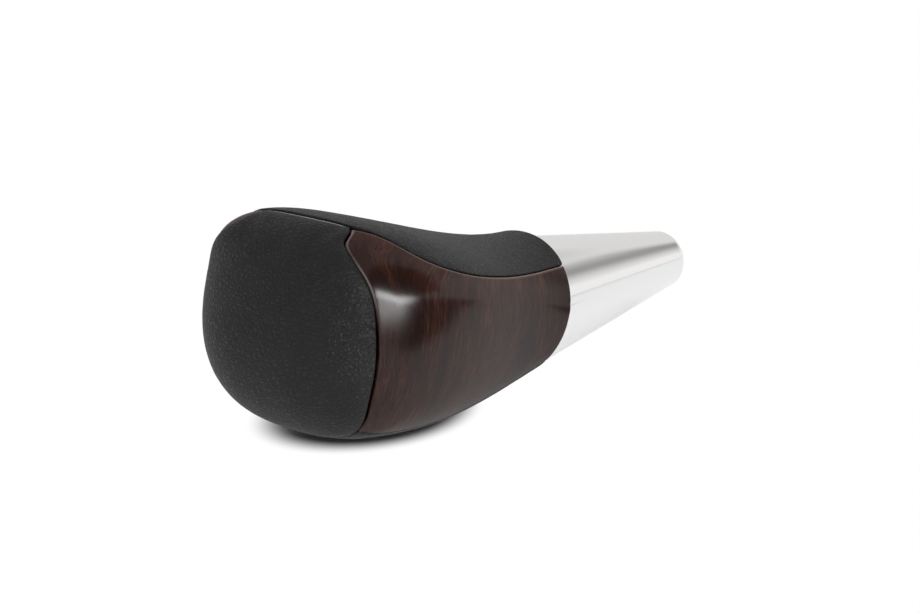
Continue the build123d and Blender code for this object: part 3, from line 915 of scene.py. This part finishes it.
class KNOB_OT_sleeve(KnobOperator):
    """Turn the tapered chrome sleeve, mitred to the head"""

    bl_idname = "shift_knob.sleeve"
    bl_label = "Chrome sleeve"

    turns = 320
    rows = 60
    arc_rows = 7

    def execute(self, context):
        form, _, _, finish = self.parts(context)
        points = self.surface(form, context.scene.knob_sleeve)
        quads = tube_faces(*points.shape[:2])
        piece = make_piece("chrome_sleeve_tube", points, quads, chrome_finish(finish))
        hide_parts("chrome_sleeve")
        return {"FINISHED"}

    def surface(self, form, sleeve):
        """Grid of the tube: straight lines along a cone, quarter rounds at the tip, then the bore.

        Each line ends on the mitre, the plane across the head's axis just below the neck.
        """
        _, radial = form.spokes(self.turns)
        taper = (sleeve.neck_radius - sleeve.tip_radius) / sleeve.sleeve_length
        corner = sleeve.edge_round
        arc = np.linspace(0, np.pi / 2, self.arc_rows)[:, None]
        share = np.linspace(1, 0, self.rows)[:, None]

        def mitre(offset):
            """Distance along the axis at which a line of the cone meets the mitre."""
            foot = form.tip + radial * (sleeve.tip_radius + offset)
            line = form.along + radial * taper
            level = form.neck - form.up * sleeve.seat_gap
            return ((level - foot) @ form.up) / (line @ form.up)

        def line(offset, distance):
            """Points on a line of the cone, at a distance along the axis."""
            return form.tube(radial, sleeve.tip_radius + offset + taper * distance, distance)

        outer = line(0.0, corner + share * (mitre(0.0) - corner))
        inner = line(-sleeve.wall, corner + share[::-1] * (mitre(-sleeve.wall) - corner))
        rise = corner * (1 - np.cos(arc))
        fall = corner * (1 - np.sin(arc))
        bend_out = form.tube(radial, sleeve.tip_radius - rise, fall)
        bend_in = form.tube(radial, sleeve.tip_radius - sleeve.wall + fall, rise)
        return np.concatenate([outer, bend_out[1:], bend_in, inner[1:]])


class KNOB_OT_insert(KnobOperator):
    """Cut the thread of the steel insert and finish the cast core and the cap's carrier"""

    bl_idname = "shift_knob.insert"
    bl_label = "Threaded insert and core"

    turns = 96
    thread_rows = 216
    thread_flats = (0.1, 0.9)

    def execute(self, context):
        form, _, _, finish = self.parts(context)
        sleeve = context.scene.knob_sleeve
        points = self.surface(form, sleeve)
        quads = tube_faces(*points.shape[:2])
        piece = make_piece("threaded_insert_bush", points, quads, steel_finish(finish))
        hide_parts("threaded_insert")
        inside = {"core": alloy_finish(finish), "cap_carrier": plastic_finish(finish)}
        for node, material in inside.items():
            mesh = frame["nodes"][node].data
            mesh.materials.clear()
            mesh.materials.append(material)
        return {"FINISHED"}

    def surface(self, form, sleeve):
        """Grid of the bush: outside, foot, then a bore whose radius follows a triangle wave with flats.

        The wave turns with the angle, one pitch to a turn, so the groove is a single helix.
        """
        turn, radial = form.spokes(self.turns)
        bore = lever_mount["dims"]["r_mm"] * MM
        foot = sleeve.insert_from_tip
        end = foot + sleeve.insert_length
        along = np.linspace(foot + sleeve.lead_in, end - sleeve.lead_in, self.thread_rows)[:, None]
        wave = np.abs(2 * ((along / sleeve.thread_pitch - turn / (2 * np.pi)) % 1.0) - 1)
        depth = np.interp(wave, self.thread_flats, (0, 1)) * sleeve.thread_depth
        ends = np.minimum(along - along[0], along[-1] - along) / sleeve.thread_pitch
        thread = bore + depth * np.clip(ends, 0, 1)
        lead = bore + sleeve.lead_in
        outside = sleeve.insert_radius
        chamfer = sleeve.foot_chamfer
        profile = np.array(
            [(outside, end), (outside, foot + chamfer), (outside - chamfer, foot), (lead, foot)]
        )
        rim = np.array([(lead, end), (outside - chamfer, end)])
        radius = np.concatenate([profile[:, :1] + 0 * turn, thread, rim[:, :1] + 0 * turn])
        distance = np.concatenate([profile[:, 1:] + 0 * turn, along + 0 * turn, rim[:, 1:] + 0 * turn])
        return form.tube(radial, radius, distance)


class KNOB_OT_stage(KnobOperator):
    """Set the white floor, the soft lights and the camera"""

    bl_idname = "shift_knob.stage"
    bl_label = "Studio"

    front_wall = ((0.0, 0.06), (0.6, 0.1), (0.9, 0.2), (1.0, 0.35))
    side_wall = (
        (0.0, 0.97), (0.1, 0.97), (0.19, 0.67), (0.25, 0.36),
        (0.28, 0.35), (0.317, 0.52), (0.34, 0.74), (1.0, 0.5),
    )
    back_wall = ((0.0, 0.76), (0.34, 0.78), (0.42, 0.45), (1.0, 0.4))
    wall_tint = (1.0, 0.99, 0.975)
    side_turn = (-0.6, -0.52)
    back_turn = (-0.06, 0.04)
    floor_reach = 2.5
    # Middle, size and fade of the ellipse where the floor's painted shadow lies.
    shadow_middle = (-0.03, 0.0075, 0.0)
    shadow_size = (0.024, 0.0165, 1.0)
    shadow_fade = (0.8, 1.15)
    room_ends = (0.133, 0.15)
    room_sides = (-0.07, -0.055)
    room_ahead = (0.455, -0.89, 0.0)
    room_start = (0.054, 0.072)
    room_level = 0.03
    aim_height = 40 * MM
    top_place = (0.0, 0.02, 0.85)
    top_size = (1.5, 1.5)
    strip_place = (-0.075, -0.23, 0.0262)
    strip_size = (0.32, 0.025)
    strip_slant = np.radians(-5.6)
    strip_end = (1.0, 0.5)
    strip_sides = ((0.0, 0.3), (1.0, 0.7))

    def execute(self, context):
        form, _, _, _ = self.parts(context)
        studio = context.scene.knob_studio
        context.scene.view_settings.view_transform = "Standard"
        self.floor(studio)
        self.sky(context.scene, studio)
        head = Vector(form.neck + form.up * self.aim_height)
        self.softbox("top_softbox", self.top_place, head, self.top_size, studio.top_power, False)
        self.softbox("strip_light", self.strip_place, head, self.strip_size, studio.strip_power, True)
        self.camera(context.scene, studio, form)
        return {"FINISHED"}

    def floor(self, studio):
        """White floor with a painted shadow, and in front of the head it mirrors as a dark room.

        Inside an ellipse under the head the camera sees dim paper, which the knob's real shadow darkens
        further; outside it the floor glows white.
        """
        reach = self.floor_reach
        corners = [(-reach, -reach, 0), (reach, -reach, 0), (reach, reach, 0), (-reach, reach, 0)]
        mesh = bpy.data.meshes.new("floor")
        mesh.from_pydata(corners, [], [(0, 1, 2, 3)])
        floor = linked("floor", mesh)
        nodes = Nodes(bpy.data.materials.new("white_floor"))
        path = nodes.add("ShaderNodeLightPath").outputs
        place = nodes.add("ShaderNodeTexCoord").outputs["Object"]

        def paper(whiteness):
            """Matt paper."""
            return nodes.add("ShaderNodeBsdfDiffuse", {"Color": tone([whiteness] * 3)}).outputs[0]

        def glow(level):
            """Even light of its own."""
            return nodes.add("ShaderNodeEmission", {"Strength": level}).outputs[0]

        # Painted shadow: dim paper inside the ellipse, white glow outside; the real shadow only shows
        # inside.
        offset = nodes.vector("SUBTRACT", place, self.shadow_middle)["Vector"]
        away = nodes.vector("LENGTH", nodes.vector("DIVIDE", offset, self.shadow_size)["Vector"])["Value"]
        seen = nodes.layered(nodes.ramp(away, *self.shadow_fade), paper(studio.painted_shadow_paper), glow(1.0))
        parts = nodes.split(place)
        ahead = nodes.vector("DOT_PRODUCT", place, self.room_ahead)["Value"]
        room = nodes.times(
            nodes.ramp(parts["X"], *self.room_ends, 1.0, 0.0),
            nodes.ramp(parts["Y"], *self.room_sides, 1.0, 0.0),
            nodes.ramp(ahead, *self.room_start),
        )
        sheets = {0: paper(studio.paper_mirrored), 1: glow(studio.mirror_glow)}
        lit = nodes.add("ShaderNodeAddShader", sheets).outputs[0]
        mirrored = nodes.layered(room, lit, glow(self.room_level))
        shown = nodes.layered(path["Is Camera Ray"], paper(studio.paper_plain), seen)
        both = nodes.layered(path["Is Glossy Ray"], shown, mirrored)
        nodes.end("Principled BSDF", "Material Output", both)
        mesh.materials.append(nodes.owner)

    def sky(self, scene, studio):
        """Even light from all round; mirrors see three walls, in front, at the side and behind."""
        scene.world = bpy.data.worlds.new("studio")
        nodes = Nodes(scene.world)
        path = nodes.add("ShaderNodeLightPath").outputs
        direction = nodes.split(nodes.add("ShaderNodeTexCoord").outputs["Generated"])

        def background(shade, strength=1.0):
            """Light of a colour from all round."""
            return nodes.add("ShaderNodeBackground", {"Color": shade, "Strength": strength}).outputs[0]

        def wall(stops):
            """Background whose level follows the height of the direction, through a few stops."""
            ramp = nodes.add("ShaderNodeValToRGB", {0: direction["Z"]})
            elements = ramp.color_ramp.elements
            for place, _ in stops[2:]:
                elements.new(place)
            for element, (place, value) in zip(elements, stops):
                element.position = place
                element.color = (*(value * tint for tint in self.wall_tint), 1)
            return background(ramp.outputs[0])

        around = wall(self.front_wall)
        for limits, stops in ((self.side_turn, self.side_wall), (self.back_turn, self.back_wall)):
            behind = nodes.ramp(direction["Y"], *limits, way="LINEAR")
            around = nodes.layered(behind, around, wall(stops))
        shown = nodes.layered(path["Is Glossy Ray"], background(WHITE, studio.sky_level), around)
        final = nodes.layered(path["Is Camera Ray"], shown, background(WHITE))
        nodes.end("Background", "World Output", final)

    def softbox(self, name, place, target, size, power, mirrored):
        """A soft light turned to the head: a slanting strip seen in gloss, or one that only lights."""
        light = bpy.data.lights.new(name, "AREA")
        light.shape = "RECTANGLE"
        light.size, light.size_y = size
        light.energy = power
        lamp = linked(name, light)
        lamp.location = place
        lamp.rotation_mode = "QUATERNION"
        slant = Quaternion((0, 0, 1), self.strip_slant if mirrored else 0.0)
        lamp.rotation_quaternion = (target - Vector(place)).to_track_quat("-Z", "Y") @ slant
        if mirrored:
            self.fade(light)
        lamp.visible_camera = False
        lamp.visible_glossy = mirrored
        lamp.visible_diffuse = not mirrored

    def fade(self, light):
        """Grades a strip light: full at one end, dark at the other, soft along both sides."""
        nodes = Nodes(light)
        spot = nodes.split(nodes.add("ShaderNodeNewGeometry").outputs["Parametric"])
        sides = [nodes.ramp(spot["Y"], *limits) for limits in self.strip_sides]
        level = nodes.times(*sides, nodes.ramp(spot["X"], *self.strip_end))
        nodes.join(level, nodes.tree.nodes["Emission"].inputs["Strength"])

    def camera(self, scene, studio, form):
        """Camera at the viewing angle of the reference, placed from the sleeve's tip."""
        data = bpy.data.cameras.new("camera")
        data.lens = studio.lens
        data.sensor_width = 36.0
        data.clip_start = 0.01
        camera = linked("camera", data)
        sight = Vector(studio.camera_sight).normalized()
        side = Vector(studio.camera_side)
        side = (side - sight * side.dot(sight)).normalized()
        turn = Matrix((side, side.cross(sight), -sight)).transposed()
        camera.location = Vector(form.tip) + Vector(studio.camera_place)
        camera.rotation_mode = "QUATERNION"
        camera.rotation_quaternion = turn.to_quaternion()
        scene.camera = camera


class KNOB_PT_tools(bpy.types.Panel):
    """Lists the knob's pieces in the 3D view's sidebar"""

    bl_idname = "KNOB_PT_tools"
    bl_label = "Shift knob"
    bl_space_type = "VIEW_3D"
    bl_region_type = "UI"
    bl_category = "Shift knob"

    def draw(self, context):
        for operator in OPERATORS:
            self.layout.operator(operator.bl_idname, text=operator.bl_label)


GROUPS = {
    "knob_head": KnobHeadShape,
    "knob_trim": KnobTrim,
    "knob_sleeve": KnobSleeve,
    "knob_finish": KnobFinish,
    "knob_studio": KnobStudio,
}
OPERATORS = (
    KNOB_OT_wood_panels,
    KNOB_OT_leather_strips,
    KNOB_OT_padded_cap,
    KNOB_OT_sleeve,
    KNOB_OT_insert,
    KNOB_OT_stage,
)


def register():
    for name, group in GROUPS.items():
        bpy.utils.register_class(group)
        setattr(bpy.types.Scene, name, PointerProperty(type=group))
    for cls in (*OPERATORS, KNOB_PT_tools):
        bpy.utils.register_class(cls)


def unregister():
    for cls in (KNOB_PT_tools, *reversed(OPERATORS)):
        bpy.utils.unregister_class(cls)
    for name, group in reversed(GROUPS.items()):
        delattr(bpy.types.Scene, name)
        bpy.utils.unregister_class(group)


def main():
    """Builds the knob and its studio."""
    register()
    bpy.ops.shift_knob.wood_panels()
    bpy.ops.shift_knob.leather_strips()
    bpy.ops.shift_knob.padded_cap()
    bpy.ops.shift_knob.sleeve()
    bpy.ops.shift_knob.insert()
    bpy.ops.shift_knob.stage()


if __name__ == "__main__":
    main()
